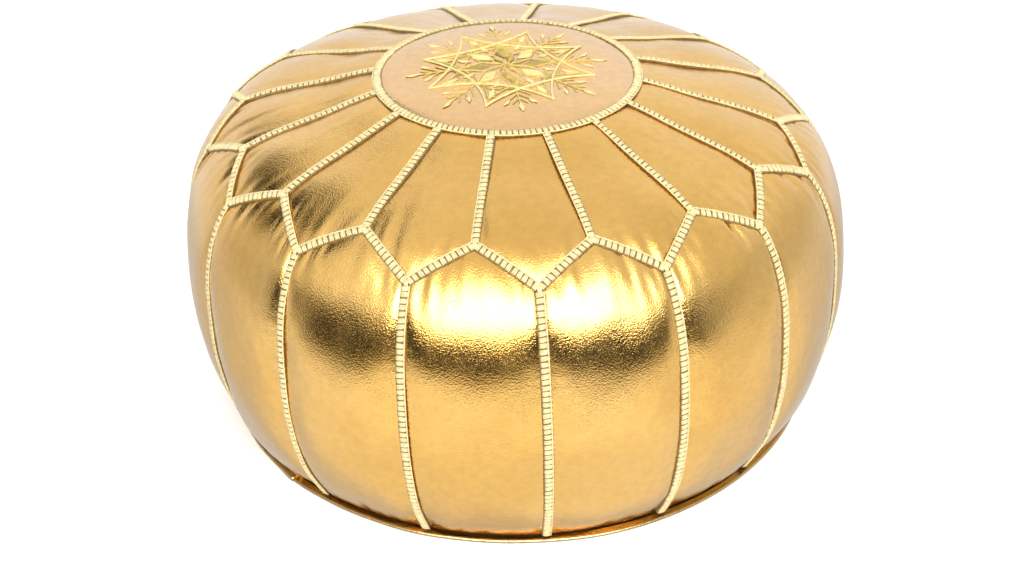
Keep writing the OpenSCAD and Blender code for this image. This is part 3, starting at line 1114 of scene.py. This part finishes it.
def antique_brass():
    n = Nodes("antique_brass", Metallic=1.0)
    tarnish = n.mapped(n.noise(260, detail=5, roughness=0.65), 0.0, 1.0)
    color = n.mix(tarnish, (0.72, 0.50, 0.20), (0.42, 0.27, 0.10))
    roughness = n.mapped(n.noise(500, detail=3), 0.22, 0.45)
    return n.done(color, roughness, n.bump(n.noise(900, detail=3), 0.03 * MM, 0.5))


def dress_cad_nodes(metal, tape):
    """The zip keeps its CAD shapes and gets its finishes here."""
    for name in ("zip_teeth_front", "zip_teeth_back", "zip_top_stops", "zip_bottom_stop",
                 "zip_slider", "zip_pull"):
        dress(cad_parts[name], metal)
    for name in ("zip_tape_front", "zip_tape_back"):
        dress(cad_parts[name], tape)


# ---------------------------------------------------------------- stage
def build_floor():
    size = 9.0
    corners = [(-size, -size, 0), (size, -size, 0), (size, size, 0), (-size, size, 0)]
    floor = mesh_object("floor", corners, [(0, 1, 2, 3)], smooth=False)
    n = Nodes("floor_white", Specular_IOR_Level=0.2, Roughness=0.6)
    paper = n.mapped(n.noise(3, detail=2), 0.88, 0.92)
    color = n.add("ShaderNodeCombineColor")
    for channel in ("Red", "Green", "Blue"):
        n.link(paper, color.inputs[channel])
    floor.data.materials.append(n.done(color.outputs["Color"]))
    floor.visible_glossy = False


class Sky(Tree):
    """A studio painted on the world by direction. Azimuth 0 is in front of the pouf
    (-Y) and 90 on its +X side; elevation is from the floor. Both are in degrees."""

    def __init__(self, level):
        world = bpy.data.worlds.new("studio")
        world.use_nodes = True
        bpy.context.scene.world = world
        super().__init__(world.node_tree)
        split = self.add("ShaderNodeSeparateXYZ")
        self.link(self.add("ShaderNodeTexCoord").outputs["Generated"], split.inputs[0])
        x, y, z = split.outputs
        turn = self.maths("ARCTAN2", x, self.maths("MULTIPLY", y, -1.0))
        self.azimuth = self.maths("MULTIPLY", turn, 180 / math.pi)
        self.elevation = self.maths("MULTIPLY", self.maths("ARCSINE", z), 180 / math.pi)
        self.light = level

    def fade(self, value, start, end):
        """0 at the start value and 1 at the end value, eased."""
        node = self.add("ShaderNodeMapRange", interpolation_type="SMOOTHSTEP",
                        From_Min=start, From_Max=end)
        self.link(value, node.inputs["Value"])
        return node.outputs[0]

    def patch(self, azimuth, elevation, radiance, soft=(6, 6)):
        """Paints one area: (from, to) in each direction, with soft edges."""
        side, rise = soft
        rise = rise if isinstance(rise, tuple) else (rise, rise)
        middle = sum(azimuth) / 2
        half = (azimuth[1] - azimuth[0]) / 2
        away = self.maths("WRAP", self.maths("SUBTRACT", self.azimuth, middle), 180.0)
        away.node.inputs[2].default_value = -180
        away = self.maths("ABSOLUTE", away)
        share = self.fade(away, half + side, half)
        low = self.fade(self.elevation, elevation[0] - rise[0], elevation[0])
        high = self.fade(self.elevation, elevation[1] + rise[1], elevation[1])
        share = self.maths("MULTIPLY", share, self.maths("MULTIPLY", low, high))
        self.light = self.blend(share, self.light, radiance)

    def blend(self, factor, a, b):
        mix = self.add("ShaderNodeMix")
        self.feed((factor, mix.inputs["Factor"]), (a, mix.inputs["A"]), (b, mix.inputs["B"]))
        return mix.outputs["Result"]

    def finish(self):
        """Warms the light from below, and shows a plain white backdrop behind."""
        background = self.tree.nodes["Background"]
        tint = self.add("ShaderNodeMix", data_type="RGBA")
        self.feed((self.fade(self.elevation, -30, 0), tint.inputs[0]),
                  ((1.0, 0.985, 0.96), tint.inputs[6]), ((1.0, 1.0, 1.0), tint.inputs[7]))
        self.link(tint.outputs[2], background.inputs["Color"])
        seen = self.add("ShaderNodeLightPath").outputs["Is Camera Ray"]
        self.link(self.blend(seen, self.light, 1.0), background.inputs["Strength"])


def build_world():
    """A pale room with one large softbox in front, a white backdrop behind and the
    dark gap under the softbox that gives the foil its contrast."""
    sky = Sky(0.7)
    # The lit floor in front, brightest in the middle
    sky.patch((-80, 80), (-75, -20), 1.1, soft=(50, 14))
    sky.patch((-38, 28), (-34, -22), 1.5, soft=(45, (5, 14)))
    # The ceiling, a paler wall at the right and the glow round the softbox
    sky.patch((-180, 180), (52, 90), 0.98, soft=(1, 25))
    sky.patch((60, 130), (30, 60), 0.86, soft=(25, 12))
    sky.patch((-62, 46), (14, 66), 1.2, soft=(30, 10))
    # The backdrop
    sky.patch((130, 230), (16, 45), 1.05, soft=(30, 6))
    sky.patch((140, 220), (-16, 12), 0.98, soft=(30, 6))
    # The dark gap in front, a dark doorway behind at the left, and the softbox
    sky.patch((-66, 46), (-13, 13), 0.02, soft=(32, (8, 2.5)))
    sky.patch((-146, -112), (27, 49), 0.02, soft=(12, 6))
    sky.patch((-36, 34), (18.5, 50), 8.5, soft=(4, (1.5, 12)))
    sky.finish()


def build_camera():
    """In front and a touch to the left, looking down, and rolled by a degree."""
    azimuth, elevation, roll = math.radians(-4.25), math.radians(31.3), math.radians(0.96)
    distance = 1.76
    target = Vector((-0.0058, 0.0004, 0.085))
    back = Vector((math.sin(azimuth) * math.cos(elevation),
                   -math.cos(azimuth) * math.cos(elevation), math.sin(elevation)))
    level = Vector((math.cos(azimuth), math.sin(azimuth), 0))
    upright = back.cross(level)
    right = math.cos(roll) * level - math.sin(roll) * upright
    up = math.sin(roll) * level + math.cos(roll) * upright
    data = bpy.data.cameras.new("camera")
    data.lens = 70.3
    data.sensor_width = 36
    camera = bpy.data.objects.new("camera", data)
    bpy.context.scene.collection.objects.link(camera)
    camera.matrix_world = Matrix((
        (right.x, up.x, back.x, 0), (right.y, up.y, back.y, 0),
        (right.z, up.z, back.z, 0), (0, 0, 0, 1)))
    camera.location = target + back * distance
    bpy.context.scene.camera = camera


build_camera()
LEATHER = gold_leather("gold_leather", (0.77, 0.44, 0.10), (0.82, 0.485, 0.12), (0.86, 0.53, 0.155))
# Painted shade: a darker, duller copy of the gold leather for the welt, standing in for the shadow
# in the gap under the bulging sides.
SHADED_WELT_LEATHER = gold_leather("shaded_welt_leather", (0.50, 0.36, 0.17), (0.56, 0.405, 0.19),
                            (0.62, 0.45, 0.21))
DISC_LEATHER = gold_leather("medallion_leather", (0.84, 0.52, 0.22), (0.86, 0.54, 0.24),
                            (0.88, 0.57, 0.27))
CREAM = thread("cream_thread", (0.62, 0.53, 0.285), (0.46, 0.37, 0.17))
# Painted shade: the colour of the dark strips under the braids, for the shadow in the seams.
SEAM_SHADE = thread("seam_shadow", (0.20, 0.14, 0.05), (0.10, 0.065, 0.02))
GOLD_THREAD = thread("gold_thread", (0.62, 0.46, 0.115), (0.38, 0.26, 0.055))
PALE_THREAD = thread("pale_thread", (0.68, 0.575, 0.255), (0.50, 0.40, 0.14))
# Painted shade: the colour of the dark shapes under the embroidery.
SHADE_THREAD = thread("shade_thread", (0.30, 0.23, 0.09), (0.17, 0.12, 0.04))
build_panels(LEATHER)
build_medallion(DISC_LEATHER)
build_braids(CREAM, SEAM_SHADE)
build_embroidery(GOLD_THREAD, PALE_THREAD, SHADE_THREAD)
build_welt(SHADED_WELT_LEATHER)
build_base(tan_leather(), CREAM)
build_inside(woven("lining_cotton", (0.86, 0.82, 0.72), (0.66, 0.61, 0.50), 900), wadding_cotton())
dress_cad_nodes(antique_brass(), woven("zip_tape", (0.34, 0.23, 0.12), (0.16, 0.10, 0.05), 1400))
build_floor()
build_world()
bpy.context.scene.view_settings.view_transform = "Standard"
